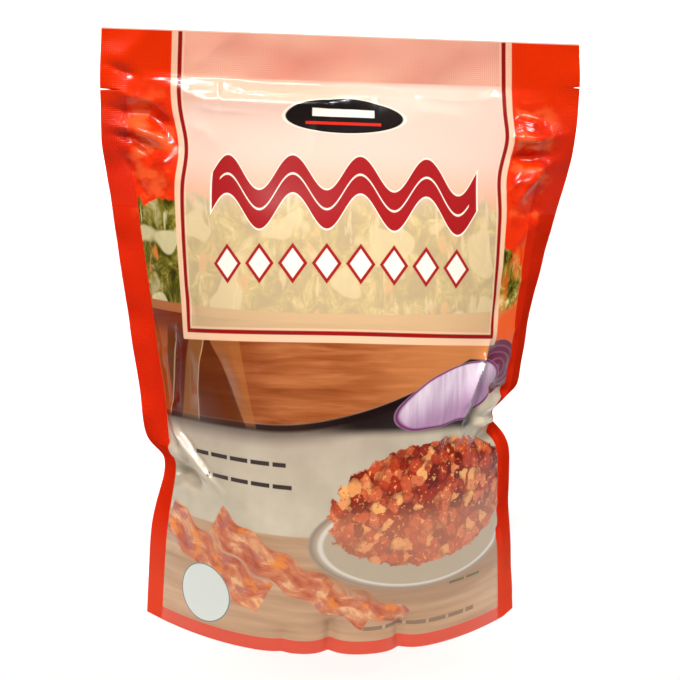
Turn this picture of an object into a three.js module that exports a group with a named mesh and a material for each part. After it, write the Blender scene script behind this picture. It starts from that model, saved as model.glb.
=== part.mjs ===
// A shut stand-up pouch of crumbled bacon, standing on its opened bottom fold.
// Millimetres, +Z up, front face towards -Y. The origin is under the middle of the whole pack.
//
// Two flat films are sealed along the sides and the top. A point of a film is named by where it
// was on the flat sheet: "across" from the middle (-110..110) and "up" from the bottom edge
// (0..285). The filling bows the films out, which draws the side seals in, because film can't
// stretch. What the seals then have too much in length goes into a tuck on each side.

import * as THREE from "three";
import { mergeVertices } from "three/addons/utils/BufferGeometryUtils.js";

// ---- driving dimensions ----
const HEIGHT = 285; // flat height of a film, and the standing height of the pack
const HALF_WIDTH = 110; // half of the flat width
const SIDE_SEAL = 12; // width of the side seals
const TOP_SEAL = 21; // height of the sealed header
const SEAL_HALF_THICKNESS = 0.5;
const FRONT = -1;
const BACK = 1;
const LEFT = -1;
const RIGHT = 1;

// The nick in each side for tearing open.
const TEAR = { [LEFT]: { height: 257.5, depth: 5 }, [RIGHT]: { height: 265, depth: 3 } };
const TEAR_HALF_OPENING = 0.4;

const BASE = { rim: 4, slope: 9, recess: 4.5, sag: 2.5, crease: 1.2 }; // the bottom film in its rim
const SLANT = 0.0045; // the left side stands this share taller, the right side lower

const SEAL_ROOT = HALF_WIDTH - SIDE_SEAL;

// Half of the straight distance between the roots of the side seals, by height.
const HALF_CHORD = {
  [LEFT]: [
    [0, 84.5], [20, 83.4], [39, 82.3], [60, 81], [80, 80.6], [95, 81], [111, 82.2], [139, 86.1],
    [160, 88.7], [191, 92.9], [208, 95], [220, 97], [236, 98.8], [258, 99], [285, 98],
  ],
  [RIGHT]: [
    [0, 87.5], [35, 85.2], [59, 83.3], [84, 82.8], [105, 83.9], [123, 85.3], [150, 87.6],
    [176, 90.3], [194, 92.6], [211, 95.2], [224, 97.8], [240, 99], [258, 99.6], [285, 98],
  ],
};

// How many degrees the side seals lean back, by height.
const SEAL_TURN = {
  [LEFT]: [[0, 48], [55, 46], [80, 34], [105, 6], [285, 0]],
  [RIGHT]: [[0, 55], [50, 60], [100, 62], [150, 60], [200, 38], [240, 14], [262, 0], [285, 0]],
};
const MOST_TURN = 82;
const TUCK_TURN = 25; // how much further they lean in a tuck
const TURN_SHIFT = 0.85 * SIDE_SEAL; // the body comes forward as the seals lean back

// How far each film bows out from the seals, by height.
const BOW = [
  [0, 41], [25, 43], [60, 45.5], [100, 45.5], [125, 43], [150, 38.5], [175, 32.5], [200, 25.5],
  [220, 18.5], [240, 12], [252, 8], [259, 4], [264, 0.8], [285, 0.5],
];
const BOW_SHAPE = 2.2; // power of the bow across the pack
const FULL_BOW = 45;
const FULL_SLACK = 0.19; // film that a full bow takes up near the seals

// How far the middle of a film lies above its edges, by height.
const LIFT = [[0, 0], [60, 0], [100, 4], [140, 8], [180, 8], [220, 5], [255, 0], [285, 0]];

// The tuck in each side: its height, how far it goes in, and its reach above and below.
const TUCK = {
  [LEFT]: { height: 79, depth: 3.2, above: 9.5, below: 19 },
  [RIGHT]: { height: 107.5, depth: 9, above: 7, below: 12 },
};
const TUCK_SHAPE = 3; // power by which a tuck grows towards the seal

// A crease runs along a path on the flat sheet. It stands out by rise (in, if negative), and its
// flanks die away over reach. start and end are the shares of the rise that are left at its ends.
const crease = (path, rise, reach, start = 0, end = 0) => ({ path, rise, reach, start, end });

const FRONT_CREASES = [
  // shoulder under the header
  crease([[-100, 267], [-85, 266], [-66, 263], [-30, 262]], 1.6, 3, 0.2),
  crease([[-90, 263], [-76, 259], [-62, 254], [-20, 253], [30, 257]], 2.6, 4, 0.2),
  crease([[-101, 264], [-90, 261]], -3.2, 4),
  // crumples at the upper corners
  crease([[-98, 248], [-88, 247.5], [-80, 241.5], [-75, 233]], -1.6, 4, 0.4, 0.2),
  crease([[-98, 240], [-86, 237], [-79, 232]], 1.4, 3.4, 0.4, 0.2),
  crease([[-84, 229], [-80, 221], [-79, 210]], 1, 5, 0, 0.2),
  crease([[-72, 243], [-62, 239], [-54, 229]], 0.9, 5, 0.2, 0.1),
  crease([[77, 241], [90, 240.5], [98, 242]], 1.4, 4, 0.1, 0.4),
  crease([[77, 231], [90, 231], [98, 233]], -1.4, 4, 0.1, 0.4),
  crease([[98, 230], [94, 227], [86, 218], [82, 203]], 1, 4, 0.4, 0.1),
  // dart down to the tuck in the right side
  crease([[76, 147], [67, 131], [61.5, 117], [61, 99]], 3.6, 3.2, 0.1, 0.4),
  crease([[84, 146], [74, 129], [68, 112]], -3.5, 4, 0, 0.5),
  crease([[98, 119], [86, 120], [75, 124]], -3.5, 4, 0.9),
  crease([[98, 107], [84, 107], [68, 106]], 3.2, 4.5, 0.7),
  crease([[98, 100], [84, 99], [66, 96]], -3.4, 3.5, 0.9),
  crease([[66, 96], [56, 98], [48, 103]], -2.6, 3.5),
  // lobe and dart at the tuck in the left side
  crease([[-98, 79], [-86, 77], [-70, 74]], -5, 4.5, 0.9),
  crease([[-98, 91], [-90, 88], [-82, 84]], 3, 5, 0.7),
  crease([[-93, 106], [-84, 94], [-74, 83], [-60, 75]], 3.4, 3.4, 0.1, 0.1),
  crease([[-97, 70], [-84, 71], [-70, 70]], 2.6, 4, 0.4),
  // flutes that fan out under the label's left foot
  crease([[-86, 147], [-95, 108]], 1.3, 3),
  crease([[-82, 147], [-90, 107]], -1.6, 3),
  crease([[-77, 142], [-86, 107]], 1.7, 3),
  crease([[-74, 141], [-80, 105]], -1.6, 3),
  crease([[-67, 142], [-71, 104]], 2, 4),
  crease([[-61, 142], [-48, 105]], -2, 4),
  crease([[-54, 142], [-39, 102]], 1.4, 5),
  // kinks in the bottom edge
  crease([[-27, 0], [-26, 16]], -2, 4, 1),
  crease([[-4, 0], [-3, 24]], -6, 5, 1),
  crease([[31, 0], [29, 22]], -5, 5, 1),
];

// Folds of both films together, where little or nothing lies between them.
const EDGE_FOLDS = [
  // header
  crease([[-107, 264], [-97, 275], [-84, 290]], 1.7, 8, 0.2, 1),
  crease([[-72, 266], [-46, 288]], 0.7, 5, 0.2, 1),
  crease([[-32, 266], [-18, 288]], -0.6, 6, 0.2, 1),
  crease([[38, 266], [60, 288]], 0.6, 6, 0.2, 1),
  // upper left corner
  crease([[-107, 269], [-99, 265.5], [-92, 263.5]], -2.4, 2.6, 0.5, 0.1),
  crease([[-106, 259], [-97, 255], [-87, 253], [-77, 247]], 2.2, 3.6, 0.4, 0.1),
  crease([[-108, 250], [-98, 247.5], [-88, 247.5], [-80, 241.5], [-75, 233]], -4.4, 4.2, 0.3, 0.2),
  crease([[-106, 241], [-94, 240], [-86, 237], [-79, 232]], 3, 3.4, 0.3, 0.2),
  crease([[-106, 237.5], [-94, 235.5], [-88, 232], [-81, 229]], -3.2, 2.4, 0.3, 0.2),
  crease([[-84, 229], [-80, 221], [-79, 210]], 1.2, 5, 0, 0.2),
  crease([[-104, 232], [-97, 220], [-90, 203]], -3, 4, 0.3, 0.1),
  // upper right corner
  crease([[77, 254], [90, 251], [104, 248]], -1.6, 4, 0.1, 0.2),
  crease([[77, 241], [90, 240.5], [105, 243]], 3.4, 3.8, 0.1, 0.3),
  crease([[77, 231], [90, 231], [101, 234]], -3.8, 4, 0.1, 0.2),
  crease([[103, 231], [94, 227], [86, 218], [82, 203]], 2.4, 4.2, 0.3, 0.1),
  crease([[102, 222], [93, 208], [88, 193]], -1.4, 6, 0.2, 0.2),
  crease([[104, 203], [92, 198], [85, 188]], 1.6, 4.5, 0.2, 0.2),
  // tucks in the sides
  crease([[-104, 89], [-90, 88], [-77, 86]], 2.4, 4, 0.4, 0.1),
  crease([[-104, 79], [-90, 78], [-70, 75]], -2.8, 4.5, 0.4, 0.1),
  crease([[104, 118], [88, 119], [76, 123]], -2.4, 4, 0.4, 0.1),
  crease([[104, 107], [88, 107], [68, 105]], 2.4, 4, 0.4, 0.1),
];

const BACK_CREASES = [
  crease([[-98, 238], [-80, 231], [-58, 232]], 4.5, 6, 0.4),
  crease([[-98, 226], [-84, 214], [-72, 198]], -3.5, 5, 0.4),
  crease([[98, 246], [80, 242], [60, 250]], 3.5, 5, 0.4),
  crease([[98, 232], [84, 222], [72, 202]], 4, 5, 0.4),
  crease([[-60, 258], [0, 255], [56, 258]], 2, 4),
  crease([[-98, 80], [-84, 78], [-66, 82]], -5, 4.5, 0.9),
  crease([[-96, 100], [-84, 84], [-64, 68]], 3.4, 4, 0.1),
  crease([[98, 104], [86, 102], [70, 106]], -5.5, 4, 0.9),
  crease([[94, 130], [82, 112], [62, 96]], 3.4, 4, 0.1),
  crease([[-20, 96], [10, 88], [40, 92]], -2.4, 7),
  crease([[-12, 0], [-10, 22]], -5, 5, 1),
  crease([[22, 0], [20, 18]], -4, 5, 1),
];
const CREST_ROUNDING = 0.22; // radius of a crest, as a share of its reach
const FADE = { start: 0.3, end: 0.45 }; // shares of a crease's length over which it comes and goes
// Creases of one film fade over these lengths near its edges.
const CREASE_EASE = { seal: 4, aboveHeader: 3.2, belowHeader: 4.8, ground: 12 };
const MOST_INWARD = 0.75; // a crease goes in by at most this share of the room behind the film

// The welded strips wave: [height of the wave, its length over 2 pi, phase].
const HEADER_WAVES = [[0.7, 9.5, 0.8], [0.3, 23, 0]];
const SIDE_WAVES = [[0.6, 5.2, 0], [0.45, 11.3, 1.7]];
const WAVE_EASE = { header: 12, seal: 4, ground: 12 };

// ---- small functions ----
const clamp = THREE.MathUtils.clamp;
const ease = (x, from, to) => THREE.MathUtils.smoothstep(x, from, to);

// Smooth curve through [place, value] stations that never overshoots them.
function along(stations, place) {
  const p = clamp(place, stations[0][0], stations.at(-1)[0]);
  const last = stations.length - 1;
  let i = 0;
  while (i < last - 1 && stations[i + 1][0] < p) i++;
  const slope = (k) => (stations[k + 1][1] - stations[k][1]) / (stations[k + 1][0] - stations[k][0]);
  const tangent = (k) => {
    if (k === 0) return slope(0);
    if (k === last) return slope(last - 1);
    const [before, after] = [slope(k - 1), slope(k)];
    return before * after > 0 ? (2 * before * after) / (before + after) : 0;
  };
  const gap = stations[i + 1][0] - stations[i][0];
  const t = (p - stations[i][0]) / gap;
  const rising = t * t * (3 - 2 * t);
  return (
    stations[i][1] * (1 - rising) +
    stations[i + 1][1] * rising +
    gap * t * (1 - t) * ((1 - t) * tangent(i) - t * tangent(i + 1))
  );
}

// Share of a tuck's depth at a height.
function tuckShare({ height, above, below }, z) {
  const reach = z > height ? above : below;
  return Math.exp(-(((z - height) / reach) ** 2));
}

// Height of the joint waves at a place along a strip.
const wave = (waves, place) =>
  waves.reduce((sum, [height, length, phase]) => sum + height * Math.sin(place / length + phase), 0);

// ---- the films ----

// How far the film's middle comes forward where the strips wave and both films fold together.
function forward(across, up) {
  const inHeader = ease(up, HEIGHT - TOP_SEAL - WAVE_EASE.header, HEIGHT);
  const inSide = ease(Math.abs(across), SEAL_ROOT - WAVE_EASE.seal, HALF_WIDTH);
  const offGround = ease(up, 0, WAVE_EASE.ground);
  const folds = EDGE_FOLDS.reduce((sum, fold) => sum + creaseRise(fold, across, up), 0);
  return folds - inHeader * wave(HEADER_WAVES, across) - inSide * offGround * wave(SIDE_WAVES, up);
}

// The film before it creases: its point, and the room between it and the other film's middle.
function plainFilm(across, up, face) {
  const side = across < 0 ? LEFT : RIGHT;
  const inner = Math.min(Math.abs(across) / SEAL_ROOT, 1);
  const slack = FULL_SLACK * (along(BOW, up) / FULL_BOW) ** 2;
  const span = inner * (1 + slack * (1 - inner ** 2));
  const z = up + along(LIFT, up) * (1 - span ** 2);

  const tuck = tuckShare(TUCK[side], z);
  const chord = along(HALF_CHORD[side], z) - tuck * TUCK[side].depth * span ** TUCK_SHAPE;
  const lean = Math.min(along(SEAL_TURN[side], z) + TUCK_TURN * tuck, MOST_TURN);
  const turn = THREE.MathUtils.degToRad(lean);
  const shiftAt = (s) => Math.sin(THREE.MathUtils.degToRad(along(SEAL_TURN[s], z)));
  const rightward = (1 + across / HALF_WIDTH) / 2;
  const shift = TURN_SHIFT * THREE.MathUtils.lerp(shiftAt(LEFT), shiftAt(RIGHT), rightward);
  const middle = -shift - forward(across, up);

  const fromNick = Math.abs(up - TEAR[side].height) / TEAR_HALF_OPENING;
  const nick = TEAR[side].depth * clamp(1 - fromNick, 0, 1);
  const seal = Math.max(Math.abs(across) - SEAL_ROOT, 0) * (1 - nick / SIDE_SEAL);
  const room = (along(BOW, z) - SEAL_HALF_THICKNESS) * (1 - span ** BOW_SHAPE);
  const point = new THREE.Vector3(
    side * (chord * span + seal * Math.cos(turn)),
    middle + face * (SEAL_HALF_THICKNESS + room) + seal * Math.sin(turn),
    z * (1 - (SLANT * across) / HALF_WIDTH),
  );
  return { point, room };
}

// How far one crease moves a point of the flat sheet.
function creaseRise({ path, rise, reach, start, end }, across, up) {
  const lengths = path.slice(1).map(([x, y], i) => Math.hypot(x - path[i][0], y - path[i][1]));
  const whole = lengths.reduce((sum, length) => sum + length, 0);
  let nearest = Infinity;
  let share = 0;
  let done = 0;
  lengths.forEach((length, i) => {
    const [ax, ay] = path[i];
    const [dx, dy] = [path[i + 1][0] - ax, path[i + 1][1] - ay];
    const t = clamp(((across - ax) * dx + (up - ay) * dy) / length ** 2, 0, 1);
    const away = Math.hypot(across - ax - t * dx, up - ay - t * dy);
    if (away < nearest) {
      nearest = away;
      share = (done + t * length) / whole;
    }
    done += length;
  });
  const crest = CREST_ROUNDING * reach;
  const flank = Math.exp(-(Math.hypot(nearest, crest) - crest) / reach);
  const atStart = start + (1 - start) * ease(share, 0, FADE.start);
  const atEnd = end + (1 - end) * ease(1 - share, 0, FADE.end);
  return rise * flank * Math.min(atStart, atEnd);
}

const NEARBY = 0.5; // distance to the points that give the film's direction

// A point of the creased film.
function filmPoint(across, up, face) {
  const { point, room } = plainFilm(across, up, face);
  const at = (x, y) => plainFilm(x, y, face).point;
  const widthwise = at(across + NEARBY, up).sub(at(across - NEARBY, up));
  const upwards = at(across, up + NEARBY).sub(at(across, up - NEARBY));
  const outward = widthwise.cross(upwards).multiplyScalar(-face).normalize();
  const creases = face === FRONT ? FRONT_CREASES : BACK_CREASES;
  const sum = creases.reduce((total, c) => total + creaseRise(c, across, up), 0);
  const free =
    ease(SEAL_ROOT - Math.abs(across), 0, CREASE_EASE.seal) *
    ease(HEIGHT - TOP_SEAL - up, -CREASE_EASE.aboveHeader, CREASE_EASE.belowHeader);
  const move = outward.multiplyScalar(Math.max(sum * free, -MOST_INWARD * room));
  move.z *= ease(up, 0, CREASE_EASE.ground);
  return point.add(move);
}

// ---- the solid ----

// Places from the first to the last stop, at most the stated step apart in each stretch.
function spread(stops) {
  const places = [stops[0][0]];
  for (let i = 1; i < stops.length; i++) {
    const [to, step] = stops[i];
    const from = stops[i - 1][0];
    const count = Math.ceil((to - from) / step);
    for (let k = 1; k <= count; k++) places.push(from + ((to - from) * k) / count);
  }
  return places;
}

const nickRows = ({ height }) => [
  [height - TEAR_HALF_OPENING, 3.6],
  [height, 1],
  [height + TEAR_HALF_OPENING, 1],
];
const ROWS = spread([
  [0], [12, 6], [60, 8], [124, 4], [196, 9], [240, 3.4],
  ...nickRows(TEAR[LEFT]), ...nickRows(TEAR[RIGHT]), [HEIGHT, 10],
]);
const RIGHT_COLUMNS = spread([[0], [40, 10], [68, 7], [SEAL_ROOT, 3], [HALF_WIDTH, 4]]);
const COLUMNS = [...RIGHT_COLUMNS.slice(1).reverse().map((x) => -x), ...RIGHT_COLUMNS];
const BASE_STEPS = [0, BASE.rim, BASE.rim + BASE.slope / 2, BASE.rim + BASE.slope];

// Triangles between rows of points, clockwise or not. Where points meet, a triangle is left out.
function skin(rows, clockwise, triangles) {
  for (let r = 0; r + 1 < rows.length; r++) {
    for (let c = 0; c + 1 < rows[r].length; c++) {
      const [a, b] = [rows[r][c], rows[r][c + 1]];
      const [d, e] = [rows[r + 1][c], rows[r + 1][c + 1]];
      for (const [p, q, s] of [[a, b, e], [a, e, d]]) {
        if (p.equals(q) || q.equals(s) || s.equals(p)) continue;
        triangles.push(...(clockwise ? [p, s, q] : [p, q, s]));
      }
    }
  }
}

// The bottom film: a flat rim to stand on, and inside it the film that sags from its fold.
function baseRows(frontEdge, backEdge) {
  const rows = [];
  const steps = BASE_STEPS.length;
  const rungs = 2 * steps + 1;
  for (let r = 0; r < rungs; r++) {
    rows.push(
      frontEdge.map((front, c) => {
        const back = backEdge[c];
        const gap = front.distanceTo(back);
        const half = gap > 2 * BASE.rim ? gap / 2 : 0; // nothing between the rims near the seals
        const fromEdge = Math.min(r, rungs - 1 - r);
        const inset = fromEdge < steps ? Math.min(BASE_STEPS[fromEdge], half * (fromEdge / steps)) : half;
        const share = inset / gap;
        const point = front.clone().lerp(back, r <= steps ? share : 1 - share);
        const fromTips = HALF_WIDTH - Math.abs(COLUMNS[c]);
        const depth = Math.min(inset, fromTips);
        const lift = BASE.recess * ease(depth, BASE.rim, BASE.rim + BASE.slope);
        const sag = BASE.sag * ease(half - BASE.rim - BASE.slope, 0, half) * ease(depth, BASE.rim, half);
        const crown = fromEdge === steps ? BASE.crease * ease(depth, BASE.rim, half) : 0;
        point.z = lift - sag + crown;
        return point;
      }),
    );
  }
  return rows;
}

const SAME_POINT = 1e-4; // points closer than this are one

function pouchGeometry() {
  const film = (face) => ROWS.map((up) => COLUMNS.map((across) => filmPoint(across, up, face)));
  const [front, back] = [film(FRONT), film(BACK)];
  const triangles = [];
  skin(front, false, triangles);
  skin(back, true, triangles);
  skin([front.map((row) => row[0]), back.map((row) => row[0])], false, triangles);
  skin([front.map((row) => row.at(-1)), back.map((row) => row.at(-1))], true, triangles);
  skin([front.at(-1), back.at(-1)], false, triangles);
  skin(baseRows(front[0], back[0]), true, triangles);

  const positions = triangles.flatMap((point) => point.toArray());
  const geometry = new THREE.BufferGeometry();
  geometry.setAttribute("position", new THREE.Float32BufferAttribute(positions, 3));
  geometry.computeBoundingBox();
  const { min, max } = geometry.boundingBox;
  geometry.translate(-(min.x + max.x) / 2, -(min.y + max.y) / 2, -min.z);
  const closed = mergeVertices(geometry, SAME_POINT);
  closed.computeVertexNormals();
  return closed;
}

const glossFilm = new THREE.MeshStandardMaterial({ color: 0xd9482a, roughness: 0.25, metalness: 0 });

const pouch = new THREE.Mesh(pouchGeometry(), glossFilm);
pouch.name = "pouch";

const group = new THREE.Group();
group.add(pouch);
export default group;
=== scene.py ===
"""A shut stand-up pouch of crumbled bacon: its film, folds, seals and print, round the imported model.

Blender works in metres. The film's own sizes are in millimetres, as on its flat sheet: "across" is
measured from the middle (-110..110) and "up" from the bottom edge (0..285).
"""

import math

import bmesh
import bpy
import numpy as np
from mathutils import Matrix, Vector


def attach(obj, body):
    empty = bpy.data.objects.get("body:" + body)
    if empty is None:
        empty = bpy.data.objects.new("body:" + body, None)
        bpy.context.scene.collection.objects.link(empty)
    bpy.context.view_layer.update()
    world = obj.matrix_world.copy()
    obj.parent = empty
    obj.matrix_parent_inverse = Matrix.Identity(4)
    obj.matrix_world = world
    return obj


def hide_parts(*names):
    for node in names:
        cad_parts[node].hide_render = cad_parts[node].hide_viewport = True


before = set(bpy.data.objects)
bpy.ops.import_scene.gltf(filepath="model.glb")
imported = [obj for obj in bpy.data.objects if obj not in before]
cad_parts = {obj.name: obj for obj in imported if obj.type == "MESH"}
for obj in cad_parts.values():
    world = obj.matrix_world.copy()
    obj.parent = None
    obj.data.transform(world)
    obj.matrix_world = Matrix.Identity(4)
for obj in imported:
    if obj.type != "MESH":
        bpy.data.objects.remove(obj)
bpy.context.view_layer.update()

MM = 0.001

# ---- sizes of the film, in millimetres ----
HEIGHT = 285.0
HALF_WIDTH = 110.0
SIDE_SEAL = 12.0
TOP_SEAL = 21.0
SEAL_ROOT = HALF_WIDTH - SIDE_SEAL
HEADER_FOOT = HEIGHT - TOP_SEAL
SEAL_HALF_THICKNESS = 0.25
FRONT, BACK = -1, 1
LEFT, RIGHT = -1, 1
TEAR_HEIGHT = {LEFT: 257.5, RIGHT: 265.0}
TEAR_DEPTH = {LEFT: 5.0, RIGHT: 3.0}
TEAR_HALF_OPENING = 0.4
BASE_RIM, BASE_SLOPE, BASE_RECESS, BASE_SAG, BASE_CREASE = 4.0, 9.0, 4.5, 2.5, 1.2
SLANT = 0.0045  # the left side stands this share taller, the right side lower
FILM_STEP = 0.8  # spacing of the film's mesh

# Half of the straight distance between the roots of the side seals, by height.
HALF_CHORD = {
    LEFT: [(0, 84.5), (20, 83.4), (39, 82.3), (60, 81), (80, 80.6), (95, 81), (111, 82.2), (139, 86.1),
           (160, 88.7), (191, 92.9), (208, 95), (220, 97), (236, 98.8), (258, 99), (285, 98)],
    RIGHT: [(0, 87.5), (35, 85.2), (59, 83.3), (84, 82.8), (105, 83.9), (123, 85.3), (150, 87.6),
            (176, 90.3), (194, 92.6), (211, 95.2), (224, 97.8), (240, 99), (258, 99.6), (285, 98)],
}
# How many degrees the side seals lean back, by height.
SEAL_TURN = {
    LEFT: [(0, 48), (55, 46), (80, 34), (105, 6), (285, 0)],
    RIGHT: [(0, 55), (50, 60), (100, 62), (150, 60), (200, 38), (240, 14), (262, 0), (285, 0)],
}
MOST_TURN = 82.0
TUCK_TURN = 25.0  # how much further they lean in a tuck
TURN_SHIFT = 0.85 * SIDE_SEAL  # the body comes forward as the seals lean back

# How far each film bows out from the seals, by height.
BOW = [(0, 41), (25, 43), (60, 45.5), (100, 45.5), (125, 43), (150, 38.5), (175, 32.5), (200, 25.5),
       (220, 18.5), (240, 12), (252, 8), (259, 4), (264, 0.8), (285, 0.5)]
BOW_SHAPE = 2.2  # power of the bow across the pack
FULL_BOW = 45.0
FULL_SLACK = 0.19  # film that a full bow takes up near the seals

# How far the middle of a film lies above its edges, by height.
LIFT = [(0, 0), (60, 0), (100, 4), (140, 8), (180, 8), (220, 5), (255, 0), (285, 0)]

# The tuck in each side: its height, how far it goes in, and its reach above and below.
TUCK = {
    LEFT: dict(height=79, depth=3.2, above=9.5, below=19),
    RIGHT: dict(height=107.5, depth=9, above=7, below=12),
}
TUCK_SHAPE = 3  # power by which a tuck grows towards the seal


def crease(path, rise, reach, start=0.0, end=0.0):
    """A crease along a path on the flat sheet.

    It stands out by rise (in, if negative), and its flanks die away over reach. start and end are
    the shares of the rise that are left at its ends.
    """
    return dict(path=path, rise=rise, reach=reach, start=start, end=end)


def creases(rows):
    """A crease from each row of crease's values."""
    return [crease(*row) for row in rows]


FRONT_CREASES = creases([
    # shoulder under the header: a lit facet between two ridges
    ([(-100, 267), (-85, 266), (-66, 263), (-30, 262)], 1.6, 3, 0.2),
    ([(-90, 263), (-76, 259), (-62, 254), (-20, 253), (30, 257)], 2.6, 4, 0.2),
    ([(-101, 264), (-90, 261)], -3.2, 4),
    # crumples at the upper corners
    ([(-98, 248), (-88, 247.5), (-80, 241.5), (-75, 233)], -1.6, 4, 0.4, 0.2),
    ([(-98, 240), (-86, 237), (-79, 232)], 1.4, 3.4, 0.4, 0.2),
    ([(-84, 229), (-80, 221), (-79, 210)], 1, 5, 0, 0.2),
    ([(-72, 243), (-62, 239), (-54, 229)], 0.9, 5, 0.2, 0.1),
    ([(77, 241), (90, 240.5), (98, 242)], 1.4, 4, 0.1, 0.4),
    ([(77, 231), (90, 231), (98, 233)], -1.4, 4, 0.1, 0.4),
    ([(98, 230), (94, 227), (86, 218), (82, 203)], 1, 4, 0.4, 0.1),
    # dart down to the tuck in the right side
    ([(76, 147), (67, 131), (61.5, 117), (61, 99)], 3.6, 3.2, 0.1, 0.4),
    ([(84, 146), (74, 129), (68, 112)], -3.5, 4, 0, 0.5),
    ([(98, 119), (86, 120), (75, 124)], -3.5, 4, 0.9),
    ([(98, 107), (84, 107), (68, 106)], 3.2, 4.5, 0.7),
    ([(98, 100), (84, 99), (66, 96)], -3.4, 3.5, 0.9),
    ([(66, 96), (56, 98), (48, 103)], -2.6, 3.5),
    # lobe and dart at the tuck in the left side
    ([(-98, 79), (-86, 77), (-70, 74)], -5, 4.5, 0.9),
    ([(-98, 91), (-90, 88), (-82, 84)], 3, 5, 0.7),
    ([(-93, 106), (-84, 94), (-74, 83), (-60, 75)], 3.4, 3.4, 0.1, 0.1),
    ([(-97, 70), (-84, 71), (-70, 70)], 2.6, 4, 0.4),
    # flutes that fan out under the label's left foot
    ([(-86, 147), (-95, 108)], 1.3, 3),
    ([(-82, 147), (-90, 107)], -1.6, 3),
    ([(-77, 142), (-86, 107)], 1.7, 3),
    ([(-74, 141), (-80, 105)], -1.6, 3),
    ([(-67, 142), (-71, 104)], 2, 4),
    ([(-61, 142), (-48, 105)], -2, 4),
    ([(-54, 142), (-39, 102)], 1.4, 5),
    # kinks in the bottom edge
    ([(-27, 0), (-26, 16)], -2, 4, 1),
    ([(-4, 0), (-3, 24)], -6, 5, 1),
    ([(31, 0), (29, 22)], -5, 5, 1),
])
# Folds of both films together, where little or nothing lies between them.
EDGE_FOLDS = creases([
    # header
    ([(-107, 264), (-97, 275), (-84, 290)], 1.7, 8, 0.2, 1),
    ([(-72, 266), (-46, 288)], 0.7, 5, 0.2, 1),
    ([(-32, 266), (-18, 288)], -0.6, 6, 0.2, 1),
    ([(38, 266), (60, 288)], 0.6, 6, 0.2, 1),
    # upper left corner
    ([(-107, 269), (-99, 265.5), (-92, 263.5)], -2.4, 2.6, 0.5, 0.1),
    ([(-106, 259), (-97, 255), (-87, 253), (-77, 247)], 2.2, 3.6, 0.4, 0.1),
    ([(-108, 250), (-98, 247.5), (-88, 247.5), (-80, 241.5), (-75, 233)], -4.4, 4.2, 0.3, 0.2),
    ([(-106, 241), (-94, 240), (-86, 237), (-79, 232)], 3, 3.4, 0.3, 0.2),
    ([(-106, 237.5), (-94, 235.5), (-88, 232), (-81, 229)], -3.2, 2.4, 0.3, 0.2),
    ([(-84, 229), (-80, 221), (-79, 210)], 1.2, 5, 0, 0.2),
    ([(-104, 232), (-97, 220), (-90, 203)], -3, 4, 0.3, 0.1),
    # upper right corner
    ([(77, 254), (90, 251), (104, 248)], -1.6, 4, 0.1, 0.2),
    ([(77, 241), (90, 240.5), (105, 243)], 3.4, 3.8, 0.1, 0.3),
    ([(77, 231), (90, 231), (101, 234)], -3.8, 4, 0.1, 0.2),
    ([(103, 231), (94, 227), (86, 218), (82, 203)], 2.4, 4.2, 0.3, 0.1),
    ([(102, 222), (93, 208), (88, 193)], -1.4, 6, 0.2, 0.2),
    ([(104, 203), (92, 198), (85, 188)], 1.6, 4.5, 0.2, 0.2),
    # tucks in the sides
    ([(-104, 89), (-90, 88), (-77, 86)], 2.4, 4, 0.4, 0.1),
    ([(-104, 79), (-90, 78), (-70, 75)], -2.8, 4.5, 0.4, 0.1),
    ([(104, 118), (88, 119), (76, 123)], -2.4, 4, 0.4, 0.1),
    ([(104, 107), (88, 107), (68, 105)], 2.4, 4, 0.4, 0.1),
])
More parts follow.
